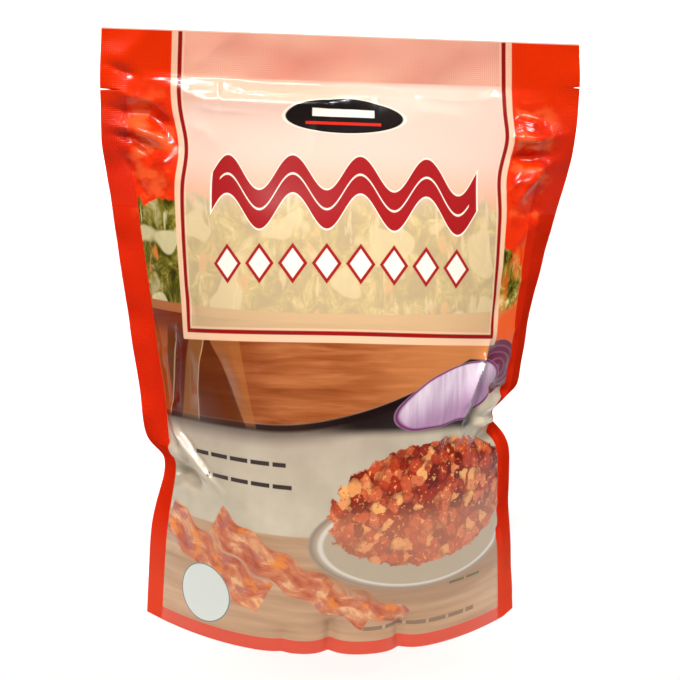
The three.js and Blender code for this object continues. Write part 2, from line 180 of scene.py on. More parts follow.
# Seams and glints that are too fine for the solid.
FINE_CREASES = creases([
    # right dart and tuck
    ([(75, 145), (65, 129), (59, 115), (60, 100)], 1.5, 1, 0.2, 0.4),
    ([(77, 144), (67.5, 128), (62, 115), (62, 101)], -1.3, 1, 0.2, 0.4),
    ([(70, 138), (62, 123), (57, 112)], 0.8, 1),
    ([(67, 108), (58, 97)], 1.2, 1.2, 0.4, 0.4),
    ([(96, 117), (80, 113), (66, 112)], 1.4, 1.4, 0.6),
    ([(97, 111), (82, 109), (66, 109)], -1.3, 1.3, 0.6),
    ([(97, 106), (82, 105), (66, 106)], 1.2, 1.3, 0.6),
    # left dart and tuck
    ([(-92, 103), (-80, 92), (-68, 81), (-60, 75)], 1.5, 1, 0.3, 0.2),
    ([(-90, 104), (-78, 93), (-66, 82), (-57, 76)], -1.4, 1, 0.3, 0.2),
    ([(-94, 96), (-84, 86), (-74, 79), (-63, 74)], -1.2, 1, 0.3, 0.2),
    ([(-98, 90), (-88, 89), (-76, 89)], 1.2, 1.4, 0.8),
    ([(-98, 85), (-86, 81), (-74, 79)], 0.8, 1.2, 0.8),
    ([(-98, 75), (-88, 73), (-76, 72)], 0.9, 1.2, 0.8),
    # beside the flutes
    ([(-84, 150), (-85, 136)], -0.8, 1.5),
    ([(-82, 143), (-89, 118), (-91, 108)], -0.6, 1.4),
    ([(-93, 146), (-95, 124)], 0.6, 1.6),
    # upper right corner
    ([(79, 249.5), (88, 247.5), (94, 246.5)], 1, 1.2),
    ([(80, 246.5), (88, 245), (94, 244.5)], 0.6, 0.9),
    ([(104, 263), (98, 256)], 0.6, 1, 0.6),
    ([(75, 213), (84, 220), (90, 225)], 0.8, 1.2, 0.2),
    ([(99, 229), (89, 219), (82, 208)], 0.7, 1.2, 0.4),
    # shoulder
    ([(-57, 264), (-56, 253)], 0.6, 1.4),
    ([(-92, 262), (-80, 262.5), (-66, 259.5)], 0.5, 0.9, 0.3),
    ([(-50, 258.5), (-38, 257.5), (-28, 255.5), (-22, 257), (-12, 255.5)], 0.6, 1, 0.3),
    ([(-50, 261.5), (-44, 258)], 0.4, 0.9, 0.3),
    ([(-8, 257), (4, 256), (16, 257.5), (34, 256)], 0.45, 1, 0.2, 0.2),
    ([(-70, 252), (-58, 249.5), (-34, 248.5)], 0.4, 1.2, 0.1, 0.1),
    ([(30, 259), (50, 257), (70, 258)], 0.4, 1.2, 0.1, 0.1),
    # upper left corner
    ([(-98, 242), (-90, 243), (-84, 240)], 0.6, 1.4, 0.6),
    ([(-97, 233), (-90, 229), (-86, 223)], -0.9, 1.1, 0.6),
    ([(-98, 226), (-95, 214)], 0.6, 1.3, 0.6),
    # on the label
    ([(-12, 250), (-14, 216)], 0.35, 3),
    ([(20, 262), (36, 252), (60, 250)], 0.5, 3),
    ([(-70, 150), (-73, 168)], -0.8, 2.5, 0.5),
    ([(76, 152), (80, 166), (78, 182)], -0.9, 2.5, 0.5),
])
BACK_CREASES = creases([
    ([(-98, 238), (-80, 231), (-58, 232)], 4.5, 6, 0.4),
    ([(-98, 226), (-84, 214), (-72, 198)], -3.5, 5, 0.4),
    ([(98, 246), (80, 242), (60, 250)], 3.5, 5, 0.4),
    ([(98, 232), (84, 222), (72, 202)], 4, 5, 0.4),
    ([(-60, 258), (0, 255), (56, 258)], 2, 4),
    ([(-98, 80), (-84, 78), (-66, 82)], -5, 4.5, 0.9),
    ([(-96, 100), (-84, 84), (-64, 68)], 3.4, 4, 0.1),
    ([(98, 104), (86, 102), (70, 106)], -5.5, 4, 0.9),
    ([(94, 130), (82, 112), (62, 96)], 3.4, 4, 0.1),
    ([(-20, 96), (10, 88), (40, 92)], -2.4, 7),
    ([(-12, 0), (-10, 22)], -5, 5, 1),
    ([(22, 0), (20, 18)], -4, 5, 1),
])
CREST_ROUNDING = 0.22  # radius of a crest, as a share of its reach
FADE_START, FADE_END = 0.3, 0.45  # shares of a crease's length over which it comes and goes
# Creases of one film fade over these lengths near its edges.
SEAL_EASE, ABOVE_HEADER_EASE, BELOW_HEADER_EASE, GROUND_EASE = 4.0, 3.2, 4.8, 12.0
MOST_INWARD = 0.75  # a crease goes in by at most this share of the room behind the film
NEARBY = 0.5  # distance to the points that give the film's direction
# Waves of the welded strips: how high, how many mm per radian across and up, and their phase.
HEADER_WAVES = (0.7, 9.5, math.inf, 0.8), (0.5, 5.1, 14, 0), (0.3, 23, math.inf, 0)
SIDE_WAVES = (0.6, 40, 5.2, 0), (0.45, math.inf, 11.3, 1.7), (0.25, math.inf, 2.9, 0)
HEADER_WAVE_EASE, SIDE_WAVE_EASE = 12, 4

# Puckers along each side seal and under the header: how many, and the least and most of each value.
SIDE_PUCKERS = dict(count=26, place=(14, 256), length=(7, 15), rise=(0.25, 0.6), reach=(1.6, 3))
HEADER_PUCKERS = dict(count=16, place=(-92, 92), length=(8, 20), rise=(0.2, 0.5), reach=(2, 4))
SIDE_SLOPE, HEADER_DRIFT = 0.35, 3  # how much they turn aside
SIDE_START, HEADER_START = 0.6, 0.5  # share of their rise at the seal
TUCK_CROWDING, TUCK_LENGTH = 22, 8  # how far from a tuck they are higher, and how much longer

# Where the print is dragged sideways: across, up, reach across, reach up, how far.
GATHERS = [(-73, 231, 20, 15, 4), (76, 241, 16, 9, 1.4), (75, 220, 16, 10, -2.2), (77, 168, 18, 40, 1.8)]


# ---- the film's shape ----

def ease(x, start, stop):
    t = np.clip((x - start) / (stop - start), 0, 1)
    return t * t * (3 - 2 * t)


def along(stations, place):
    """Smooth curve through (place, value) stations that never overshoots them."""
    places, values = np.array(stations, float).T
    slopes = np.diff(values) / np.diff(places)
    tangents = np.concatenate([slopes[:1], np.zeros(len(slopes) - 1), slopes[-1:]])
    product, total = slopes[:-1] * slopes[1:], slopes[:-1] + slopes[1:]
    tangents[1:-1] = np.where(product > 0, 2 * product / np.where(total == 0, 1, total), 0)
    p = np.clip(place, places[0], places[-1])
    i = np.clip(np.searchsorted(places, p) - 1, 0, len(places) - 2)
    gap = places[i + 1] - places[i]
    t = (p - places[i]) / gap
    rising = t * t * (3 - 2 * t)
    bend = gap * t * (1 - t) * ((1 - t) * tangents[i] - t * tangents[i + 1])
    return values[i] * (1 - rising) + values[i + 1] * rising + bend


def crease_rise(c, across, up):
    """How far one crease moves the points of the flat sheet."""
    path = np.array(c["path"], float)
    steps = np.diff(path, axis=0)
    lengths = np.linalg.norm(steps, axis=1)
    nearest = np.full(across.shape, np.inf)
    share = np.zeros(across.shape)
    done = 0.0
    for (ax, ay), (dx, dy), length in zip(path[:-1], steps, lengths):
        t = np.clip(((across - ax) * dx + (up - ay) * dy) / length ** 2, 0, 1)
        away = np.hypot(across - ax - t * dx, up - ay - t * dy)
        share = np.where(away < nearest, (done + t * length) / lengths.sum(), share)
        nearest = np.minimum(away, nearest)
        done += length
    crest = CREST_ROUNDING * c["reach"]
    flank = np.exp(-(np.hypot(nearest, crest) - crest) / c["reach"])
    at_start = c["start"] + (1 - c["start"]) * ease(share, 0, FADE_START)
    at_end = c["end"] + (1 - c["end"]) * ease(1 - share, 0, FADE_END)
    return c["rise"] * flank * np.minimum(at_start, at_end)


def ripple(across, up):
    """How the welded strips wave, front and back together."""
    def waves(table):
        return sum(high * np.sin(across / x + up / z + phase) for high, x, z, phase in table)

    in_header = ease(up, HEADER_FOOT - HEADER_WAVE_EASE, HEIGHT)
    in_side = ease(np.abs(across), SEAL_ROOT - SIDE_WAVE_EASE, HALF_WIDTH)
    return in_header * waves(HEADER_WAVES) + in_side * waves(SIDE_WAVES) * ease(up, 0, GROUND_EASE)


def plain_film(across, up, face):
    """The film before it creases: its points, and the room behind each."""
    left = across < 0
    side = np.where(left, LEFT, RIGHT)

    def by_side(value):
        return np.where(left, value(LEFT), value(RIGHT))

    def tuck_share(s):
        tuck = TUCK[s]
        reach = np.where(z > tuck["height"], tuck["above"], tuck["below"])
        return np.exp(-((z - tuck["height"]) / reach) ** 2)

    def chord_of(s):
        return along(HALF_CHORD[s], z) - tuck_share(s) * TUCK[s]["depth"] * span ** TUCK_SHAPE

    inner = np.minimum(np.abs(across) / SEAL_ROOT, 1)
    slack = FULL_SLACK * (along(BOW, up) / FULL_BOW) ** 2
    span = inner * (1 + slack * (1 - inner ** 2))
    z = up + along(LIFT, up) * (1 - span ** 2)

    lean = by_side(lambda s: along(SEAL_TURN[s], z)) + TUCK_TURN * by_side(tuck_share)
    turn = np.radians(np.minimum(lean, MOST_TURN))
    shift_left, shift_right = (np.sin(np.radians(along(SEAL_TURN[s], z))) for s in (LEFT, RIGHT))
    rightward = (1 + across / HALF_WIDTH) / 2
    middle = -TURN_SHIFT * (shift_left * (1 - rightward) + shift_right * rightward)
    middle = middle + ripple(across, up) - sum(crease_rise(c, across, up) for c in EDGE_FOLDS)

    from_nick = np.abs(up - by_side(TEAR_HEIGHT.get)) / TEAR_HALF_OPENING
    nick = by_side(TEAR_DEPTH.get) * np.clip(1 - from_nick, 0, 1)
    seal = np.maximum(np.abs(across) - SEAL_ROOT, 0) * (1 - nick / SIDE_SEAL)
    room = (along(BOW, z) - SEAL_HALF_THICKNESS) * (1 - span ** BOW_SHAPE)
    points = np.stack([
        side * (by_side(chord_of) * span + seal * np.cos(turn)),
        middle + face * (SEAL_HALF_THICKNESS + room) + seal * np.sin(turn),
        z * (1 - SLANT * across / HALF_WIDTH),
    ], -1)
    return points, room


def film_points(across, up, face, folds):
    """The points of the creased film."""
    def slope(x, z):
        return plain_film(across + x, up + z, face)[0] - plain_film(across - x, up - z, face)[0]

    points, room = plain_film(across, up, face)
    outward = np.cross(slope(NEARBY, 0), slope(0, NEARBY)) * -face
    outward /= np.linalg.norm(outward, axis=-1, keepdims=True)
    rise = sum(crease_rise(c, across, up) for c in folds)
    free = ease(SEAL_ROOT - np.abs(across), 0, SEAL_EASE)
    free = free * ease(HEADER_FOOT - up, -ABOVE_HEADER_EASE, BELOW_HEADER_EASE)
    move = outward * np.maximum(rise * free, -MOST_INWARD * room)[..., None]
    move[..., 2] *= ease(up, 0, GROUND_EASE)
    return points + move


def puckers(seed):
    """Fine creases that run in from the side seals, stronger near a tuck, and down from the header."""
    draw = np.random.default_rng(seed)

    def pick(kind, value):
        return draw.uniform(*kind[value])

    found = []
    for side in (LEFT, RIGHT):
        root = side * SEAL_ROOT
        for _ in range(SIDE_PUCKERS["count"]):
            up = pick(SIDE_PUCKERS, "place")
            crowding = math.exp(-((up - TUCK[side]["height"]) / TUCK_CROWDING) ** 2)
            length = pick(SIDE_PUCKERS, "length") + TUCK_LENGTH * crowding
            slope = draw.normal(0, SIDE_SLOPE)
            tip = (root - side * length, up + slope * length)
            rise = draw.choice((-1, 1)) * pick(SIDE_PUCKERS, "rise") * (1 + crowding)
            found.append(crease([(root, up), tip], rise, pick(SIDE_PUCKERS, "reach"), SIDE_START))
    for _ in range(HEADER_PUCKERS["count"]):
        across = pick(HEADER_PUCKERS, "place")
        tip = (across + draw.normal(0, HEADER_DRIFT), HEADER_FOOT - pick(HEADER_PUCKERS, "length"))
        rise = draw.choice((-1, 1)) * pick(HEADER_PUCKERS, "rise")
        found.append(crease([(across, HEADER_FOOT), tip], rise, pick(HEADER_PUCKERS, "reach"), HEADER_START))
    return found


# ---- where the parts of the print lie on the flat sheet ----
PRINT_LEFT, PRINT_RIGHT = -97.8, 92.5  # the picture stops short of the right seal
BORDER_TOP = 7.0  # red border along the bottom
UPPER_SEAL_FOOT = 205.0  # the side seals are duller above this
LABEL_HALF_WIDTH, LABEL_FOOT = 77.9, 142.4
LINE_HALF_WIDTH, LINE_FOOT = 75.2, 145.6
LABEL_TOP = 330.0  # past the film's edge, because the label hangs from it
LINE_WIDTH, LABEL_ROUNDING, LINE_ROUNDING = 1.9, 0.8, 0.6
HEADER_LINE = 264.4
BACK_LABEL = dict(half_width=LABEL_HALF_WIDTH, low=40, high=240, radius=3)
BACK_LINE = dict(half_width=LINE_HALF_WIDTH, low=43, high=237, radius=2.4)
CUT_EDGE = 284.45  # the cut top edge shows the film's pale core
LEAF_TOP = 208
LEAF_DROPS = (-60, -92, 2), (70, 84, 26)  # where its slopes start and stop, and how far they go down
WOOD_TOP, WOOD_TOP_SAG = 155.0, 6.0
# The foot of the wood is level up to its bend, and curves up from there, but not past the most.
WOOD_FOOT, WOOD_BEND, WOOD_REACH, WOOD_RISE, WOOD_SHAPE, WOOD_FOOT_MOST = 107.5, -36, 106, 33.5, 1.9, 136
BOARD_TOP, BOARD_SLOPE = 61.0, 0.02  # cloth above, board below
# Ellipses: centre, radii and, where it is turned, by how many degrees.
PLAQUE = (0.5, 248), (28, 8.4)
DISC = (-68, 23), (15, 15)
DISH = (44, 57), (59, 25)
DISH_SHADE = (50, 48), (60, 25)
MOUND = (48, 73), (54, 28), 5
FAR_SLICE = (83, 132), (15, 13), 8
NEAR_SLICE = (55, 121), (31, 12), 20
# Wavy strips: middle, half length and half width.
STRIPS = ((-66, 42), 34, 9), ((-24, 41), 44, 8), ((14, 26), 20, 5)
STRIP_TURN = math.radians(-27)
FLUTE_LEVEL = 125
# Facets of the fluted film, painted darker and paler by turns as shade and light: where each ends at
# that level, how far that moves in each mm up, its colour, and how thickly it is painted.
FLUTE_FACET_SHADING = [
    (-90, 0.08, (178, 90, 38), 0.6), (-88, 0.24, (92, 50, 18), 0.75), (-79, 0.24, (84, 18, 2), 0.8),
    (-69, 0.16, (142, 92, 44), 0.65), (-54.3, -0.48, (80, 32, 4), 0.7), (-43.9, -0.2, (182, 112, 56), 0.42),
]
# The facets whose ends get a painted highlight.
LIT_FLUTES = 1, 3  # their ends catch the light

# ---- the film's mesh ----

# The materials, in the order of the pouch's slots.
FRONT_PRINT, HEADER_PRINT, BACK_PRINT, BASE_PRINT, SEAL, UPPER_SEAL = range(6)


def places(start, stop, extra):
    count = round((stop - start) / FILM_STEP)
    return np.unique(np.concatenate([np.linspace(start, stop, count + 1), np.array(extra, float)]))


NICK_ROWS = [height + part * TEAR_HALF_OPENING for height in TEAR_HEIGHT.values() for part in (-1, 0, 1)]
ROWS = places(0, HEIGHT, NICK_ROWS + [UPPER_SEAL_FOOT, HEADER_FOOT])
COLUMNS = places(-HALF_WIDTH, HALF_WIDTH, [-SEAL_ROOT, PRINT_RIGHT, SEAL_ROOT])
# How far in from the rim the rows of the bottom film lie.
BASE_STEPS = np.array([0.0, 2.0, BASE_RIM, 5.5, 7, 9, 11, BASE_RIM + BASE_SLOPE, 16, 20, 25, 30, 35])


def base_grid(front_edge, back_edge):
    """The bottom film between the two rims, as rows from front to back."""
    gap = np.linalg.norm(back_edge - front_edge, axis=1)
    half = np.where(gap > 2 * BASE_RIM, gap / 2, 0)
    steps = len(BASE_STEPS)
    rungs = 2 * steps + 1
    rows = []
    for r in range(rungs):
        from_edge = min(r, rungs - 1 - r)
        inset = half
        if from_edge < steps:
            inset = np.minimum(BASE_STEPS[from_edge], half * from_edge / steps)
        share = inset / gap
        share = share if r <= steps else 1 - share
        point = front_edge + (back_edge - front_edge) * share[:, None]
        depth = np.minimum(inset, HALF_WIDTH - np.abs(COLUMNS))
        lift = BASE_RECESS * ease(depth, BASE_RIM, BASE_RIM + BASE_SLOPE)
        wide = np.maximum(half, BASE_RIM + 1e-3)
        sag = BASE_SAG * ease(half - BASE_RIM - BASE_SLOPE, 0, wide) * ease(depth, BASE_RIM, wide)
        crown = BASE_CREASE * ease(depth, BASE_RIM, wide) if from_edge == steps else 0
        point[:, 2] = lift - sag + crown
        rows.append(point)
    return np.array(rows)


def mesh_of(name, grids, materials):
    """One mesh of quads, out of grids of points.

    Each grid comes with its points' places on the sheet, the slot of each quad (or the one that they
    all share), and whether it faces the other way.
    """
    points, quads, sheets, slots = [], [], [], []
    for grid, sheet, slot, turned in grids:
        first = sum(map(len, points))
        rows, columns = grid.shape[:2]
        number = first + np.arange(rows * columns).reshape(rows, columns)
        a, b = number[:-1, :-1], number[:-1, 1:]
        e, d = number[1:, 1:], number[1:, :-1]
        corners = np.stack([a, d, e, b] if turned else [a, b, e, d], -1).reshape(-1, 4)
        points.append(grid.reshape(-1, 3) * MM)
        quads.append(corners)
        sheets.append(sheet.reshape(-1, 2)[corners - first])
        slots.append(np.broadcast_to(slot, (rows - 1, columns - 1)).ravel())
    mesh = bpy.data.meshes.new(name)
    mesh.from_pydata(np.concatenate(points).tolist(), [], np.concatenate(quads).tolist())
    for material in materials:
        mesh.materials.append(material)
    mesh.polygons.foreach_set("material_index", np.concatenate(slots).astype(np.int32))
    mesh.polygons.foreach_set("use_smooth", [True] * len(mesh.polygons))
    layer = mesh.uv_layers.new(name="sheet")
    layer.data.foreach_set("uv", np.concatenate(sheets).astype(np.float32).ravel())
    return mesh


def sheet_uv(across, up):
    """Where the film's points lie on the printed sheet: the crumples gather it a little sideways."""
    gathered = sum(shift * np.exp(-((across - x) / wide) ** 2 - ((up - z) / high) ** 2)
                   for x, z, wide, high, shift in GATHERS)
    return np.stack([(across - gathered) / (2 * HALF_WIDTH) + 0.5, up / HEIGHT], -1)


def print_slots():
    """The material of each quad of the front, and of the back."""
    middles = (COLUMNS[:-1] + COLUMNS[1:]) / 2
    levels = (ROWS[:-1] + ROWS[1:])[:, None] / 2
    in_header = levels > HEADER_FOOT
    in_seal = (middles < -SEAL_ROOT) | (middles > PRINT_RIGHT)
    seal = np.where(levels > UPPER_SEAL_FOOT, UPPER_SEAL, SEAL)
    front = np.where(in_header, HEADER_PRINT, np.where(in_seal, seal, FRONT_PRINT))
    back = np.where(in_header, UPPER_SEAL, np.where(in_seal, seal, BACK_PRINT))
    return front, back


def join_grids(mesh):
    """Joins the points that the grids share, because they meet edge to edge."""
    work = bmesh.new()
    work.from_mesh(mesh)
    bmesh.ops.remove_doubles(work, verts=work.verts, dist=1e-6)
    bmesh.ops.dissolve_degenerate(work, edges=work.edges, dist=1e-7)
    work.to_mesh(mesh)
    work.free()
    mesh.set_sharp_from_angle(angle=math.radians(50))


def link(name, data):
    """Puts a new object that has this data in the scene."""
    made = bpy.data.objects.new(name, data)
    bpy.context.scene.collection.objects.link(made)
    return made


def build_pouch(materials):
    """The pouch, and where its middle lay before it was moved over the origin."""
    across, up = np.meshgrid(COLUMNS, ROWS)
    flat = sheet_uv(across, up)
    front = film_points(across, up, FRONT, FRONT_CREASES + FINE_CREASES + puckers(seed=3))
    back = film_points(across, up, BACK, BACK_CREASES + puckers(seed=8))
    films = np.concatenate([front, back])
    low, high = films.min((0, 1)), films.max((0, 1))
    centre = (low + high) / 2
    centre[2] = low[2]
    front, back = front - centre, back - centre

    front_slots, back_slots = print_slots()
    grids = [(front, flat, front_slots, False), (back, flat, back_slots, True)]
    # The film's cut edges lie between the front and the back.
    for edge, turned in ((np.s_[:, 0], False), (np.s_[:, -1], True), (np.s_[-1], False)):
        grids.append((np.stack([front[edge], back[edge]]), np.stack([flat[edge]] * 2), SEAL, turned))
    base = base_grid(front[0], back[0])
    grids.append((base, sheet_uv(base[..., 0], base[..., 1] + HEIGHT / 2), BASE_PRINT, True))
    mesh = mesh_of("pouch_film", grids, materials)
    piece = link("pouch_film", mesh)
    join_grids(mesh)
    return piece, centre


# ---- materials ----

SHARP = 0.22  # half of the width over which a printed edge turns, in millimetres


def linear(r, g, b):
    """A colour given as it looks on a screen, 0..255, in the renderer's linear light."""
    def one(c):
        c /= 255
        return c / 12.92 if c <= 0.04045 else ((c + 0.055) / 1.055) ** 2.4
    return one(r), one(g), one(b), 1.0


def sum_of(operation):
    """A method of Paint that does one operation on its values."""
    def method(paint, *values):
        return paint.math(operation, *values)
    return method


class Paint:
    """Builds a print in layers out of shader nodes. Values are sockets or plain numbers."""

    def __init__(self, name, ground):
        self.material = bpy.data.materials.new(name)
        self.material.use_nodes = True
        self.tree = self.material.node_tree
        self.shader = self.tree.nodes["Principled BSDF"]
        self.colour = linear(*ground)
        # The point's place on the flat sheet, in millimetres.
        sheet = self.node("ShaderNodeTexCoord").outputs["UV"]
        apart = self.node("ShaderNodeSeparateXYZ", {0: sheet}).outputs
        self.across = self.mul_add(apart[0], 2 * HALF_WIDTH, -HALF_WIDTH)
        self.up = self.mul(apart[1], HEIGHT)

    def feed(self, socket, value):
        if isinstance(value, bpy.types.NodeSocket):
            self.tree.links.new(value, socket)
        else:
            socket.default_value = value

    def node(self, kind, values=None, **settings):
        """A new node. values are for its inputs, by name or number."""
        made = self.tree.nodes.new(kind)
        for key, value in settings.items():
            setattr(made, key, value)
        for key, value in (values or {}).items():
            self.feed(made.inputs[key], value)
        return made

    # Sums.

    def math(self, operation, *values):
        return self.node("ShaderNodeMath", dict(enumerate(values)), operation=operation).outputs[0]

    add, sub, mul, mul_add = map(sum_of, ("ADD", "SUBTRACT", "MULTIPLY", "MULTIPLY_ADD"))
    least, most, size, sine = map(sum_of, ("MINIMUM", "MAXIMUM", "ABSOLUTE", "SINE"))
    power, root, cycle = map(sum_of, ("POWER", "SQRT", "FLOORED_MODULO"))

    def length(self, x, y):
        return self.root(self.add(self.mul(x, x), self.mul(y, y)))

    # Masks: 1 where there is paint, 0 where there is none.

    def edge(self, value, start, stop):
        """0 up to start, 1 from stop, smooth between (or the other way round if start > stop)."""
        (low, at_low), (high, at_high) = sorted([(start, 0), (stop, 1)])
        values = {"Value": value, "From Min": low, "From Max": high, "To Min": at_low, "To Max": at_high}
        return self.node("ShaderNodeMapRange", values, interpolation_type="SMOOTHSTEP").outputs["Result"]

    def above(self, value, limit, soft=SHARP):
        return self.edge(value, limit - soft, limit + soft)

    def below(self, value, limit, soft=SHARP):
        return self.edge(value, limit + soft, limit - soft)

    def near(self, value, reach, soft=SHARP):
        """1 where a value is less than reach from zero."""
        return self.below(self.size(value), reach, soft)

    def between(self, value, rise, fall):
        """1 between two slopes, each given by where it starts and where it stops."""
        return self.mul(self.edge(value, *rise), self.edge(value, *fall))

    def all_of(self, *masks):
        product = masks[0]
        for mask in masks[1:]:
            product = self.mul(product, mask)
        return product

    # Shapes.

    def box(self, half_width, low, high, radius):
        """Distance outside a rounded rectangle in the middle of the sheet (negative inside)."""
        x = self.sub(self.size(self.across), half_width - radius)
        y = self.sub(self.size(self.sub(self.up, (low + high) / 2)), (high - low) / 2 - radius)
        outer = self.length(self.most(x, 0), self.most(y, 0))
        inner = self.least(self.most(x, y), 0)
        return self.sub(self.add(outer, inner), radius)

    def ellipse(self, centre, radii, turn=0):
        """1 on an ellipse's outline, 0 at its centre."""
        c, s = math.cos(math.radians(turn)), math.sin(math.radians(turn))
        x, y = self.sub(self.across, centre[0]), self.sub(self.up, centre[1])
        along_x = self.mul_add(y, s / radii[0], self.mul(x, c / radii[0]))
        along_y = self.mul_add(y, c / radii[1], self.mul(x, -s / radii[1]))
        return self.length(along_x, along_y)

    # Textures.

    def place(self, across=None, up=None, scale=(1, 1), turn=0):
        """A vector for a texture: the point's place on the sheet, turned by degrees and stretched."""
        joined = self.node("ShaderNodeCombineXYZ", {0: across or self.across, 1: up or self.up})
        values = {0: joined.outputs[0], "Rotation": (0, 0, math.radians(turn)), "Scale": (*scale, 1)}
        return self.node("ShaderNodeMapping", values).outputs[0]

    def noise(self, size, detail=2, roughness=0.5, distortion=0, **place):
        values = {"Vector": self.place(**place), "Scale": 1 / size, "Detail": detail,
                  "Roughness": roughness, "Distortion": distortion}
        return self.node("ShaderNodeTexNoise", values).outputs["Fac"]

    def wobble(self, size, detail, reach):
        """A noise between about -reach / 2 and reach / 2."""
        return self.mul_add(self.noise(size, detail), reach, -reach / 2)

    # Colours.

    def ramp(self, value, stops):
        made = self.node("ShaderNodeValToRGB")
        ramp = made.color_ramp
        while len(ramp.elements) < len(stops):
            ramp.elements.new(0.5)
        for element, (at, colour) in zip(ramp.elements, stops):
            element.position = at
            element.color = linear(*colour)
        self.feed(made.inputs[0], value)
        return made.outputs[0]

    def mottle(self, noise, stops):
        return self.ramp(self.noise(**noise), stops)

    def layer(self, colour, *masks, share=1):
        """Paints a colour over what is there already, where every mask is: share is how thickly."""
        mask = self.all_of(*masks)
        below = self.colour
        above = linear(*colour) if isinstance(colour, tuple) else colour
        values = {0: mask if share == 1 else self.mul(mask, share), 6: below, 7: above}
        self.colour = self.node("ShaderNodeMix", values, data_type="RGBA").outputs[2]

    def fades(self, value, rows, *masks):
        """Layers that come in over a value."""
        for colour, start, full, share in rows:
            self.layer(colour, *masks, self.edge(value, start, full), share=share)


CORE = (246, 200, 178)
FILM_IOR = 1.42
COAT_ROUGHNESS = 0.06
KNURL_PITCH, KNURL_DEPTH, KNURL_STRENGTH = 1.3, 0.2, 0.3  # the first two in millimetres


def film_finish(p, roughness=0.2, level=0.3, coat=0.35):
    """Gloss film with a pale cut edge, and heat seals knurled along the sides and the top."""
    p.layer(CORE, p.above(p.up, CUT_EDGE, soft=0.15))
    shader = p.shader
    p.feed(shader.inputs["Base Color"], p.colour)
    shader.inputs["Roughness"].default_value = roughness
    shader.inputs["IOR"].default_value = FILM_IOR
    shader.inputs["Specular IOR Level"].default_value = level
    shader.inputs["Coat Weight"].default_value = coat
    shader.inputs["Coat Roughness"].default_value = COAT_ROUGHNESS
    in_side_seal = p.above(p.size(p.across), SEAL_ROOT, soft=0.5)
    sealed = p.most(in_side_seal, p.edge(p.up, HEADER_FOOT, HEADER_FOOT + 1))
    turns = 2 * math.pi / KNURL_PITCH * math.sqrt(0.5)
    rising = p.sine(p.mul(p.add(p.across, p.up), turns))
    falling = p.sine(p.mul(p.sub(p.across, p.up), turns))
    knurl = {"Strength": KNURL_STRENGTH, "Distance": KNURL_DEPTH * MM,
             "Height": p.all_of(rising, falling, sealed)}
    bump = p.node("ShaderNodeBump", knurl).outputs[0]
    p.feed(shader.inputs["Normal"], bump)
    p.feed(shader.inputs["Coat Normal"], bump)
    return p.material


# ---- the print ----

# A MOTTLE is a noise and the colours that follow it. FADES are layers that come in over a value or a
# noise: their colour, where they start, where they are full, and how thickly they are painted.
# A WOBBLE is a noise's size, its detail and its reach.

RED, SEAL_RED, LINE_RED = (230, 46, 2), (206, 38, 12), (146, 18, 18)
PALE, VEIL = (242, 214, 204), (218, 188, 144)

LEAF_WOBBLE, LEAF_END = (9, 4, 26), (97, 88)
LEAF_MOTTLE = dict(size=9, detail=6, roughness=0.7, distortion=0.9, turn=35, scale=(1, 0.7)), [
    (0.36, (34, 30, 2)), (0.45, (86, 84, 12)), (0.52, (132, 122, 34)), (0.58, (182, 164, 84)),
    (0.66, (228, 210, 150))]
LEAF_FADES = [((70, 62, 10), -74, -82, 0.45)]
LEAF_SPOTS = [
    (dict(size=22, detail=1, turn=-20), ((226, 210, 160), 0.56, 0.6, 0.75)),
    (dict(size=5, detail=3, turn=60, scale=(1, 0.2)), ((236, 224, 176), 0.6, 0.66, 0.6)),
    (dict(size=11, turn=70, scale=(1, 0.5)), ((222, 128, 56), 0.63, 0.68, 0.8)),
]


def paint_leaves(p, inside):
    """A mottled field of leaf greens with cream and orange flecks."""
    skyline = LEAF_TOP
    for start, stop, drop in LEAF_DROPS:
        skyline = p.mul_add(p.edge(p.across, start, stop), -drop, skyline)
    skyline = p.add(skyline, p.wobble(*LEAF_WOBBLE))
    leaves = p.all_of(inside, p.below(p.sub(p.up, skyline), 0, soft=1.2), p.edge(p.across, *LEAF_END))
    p.layer(p.mottle(*LEAF_MOTTLE), leaves)
    p.fades(p.across, LEAF_FADES, leaves)
    for noise, fade in LEAF_SPOTS:
        p.fades(p.noise(**noise), [fade], leaves)


# Painted light and shade on the crumpled upper corners: orange where they catch the light, deep red in their
# shade.
CORNER_LIGHT_SIDES = (LABEL_HALF_WIDTH, LABEL_HALF_WIDTH + 3), (SEAL_ROOT + 6, SEAL_ROOT - 4)
CORNER_LIGHT_HEIGHTS = (192, 208), (263, 250)
CORNER_LIGHT_NOISE = dict(size=9, detail=3, turn=-24, scale=(0.7, 1))
CORNER_LIGHT_AND_SHADE_FADES = [((246, 96, 44), 0.47, 0.62, 0.75), ((170, 24, 8), 0.46, 0.34, 0.55)]


def paint_corner_light_and_shade(p):
    """Painted light and shade in the red of the upper corners: orange drifts where lit, deep red in shade."""
    corners = p.all_of(p.between(p.size(p.across), *CORNER_LIGHT_SIDES), p.between(p.up, *CORNER_LIGHT_HEIGHTS))
    p.fades(p.noise(**CORNER_LIGHT_NOISE), CORNER_LIGHT_AND_SHADE_FADES, corners)


GLOW_START, GLOW_HEIGHTS = (74, 82), ((138, 150), (214, 190))
GLOW_NOISE = dict(size=9, turn=-28, scale=(1, 0.35))
GLOW_FADES = [((236, 104, 34), 0.48, 0.66, 0.85)]


def paint_glow(p, inside):
    """Orange streaks in the red at the right of the leaves."""
    zone = p.all_of(inside, p.edge(p.across, *GLOW_START), p.between(p.up, *GLOW_HEIGHTS))
    p.fades(p.noise(**GLOW_NOISE), GLOW_FADES, zone)


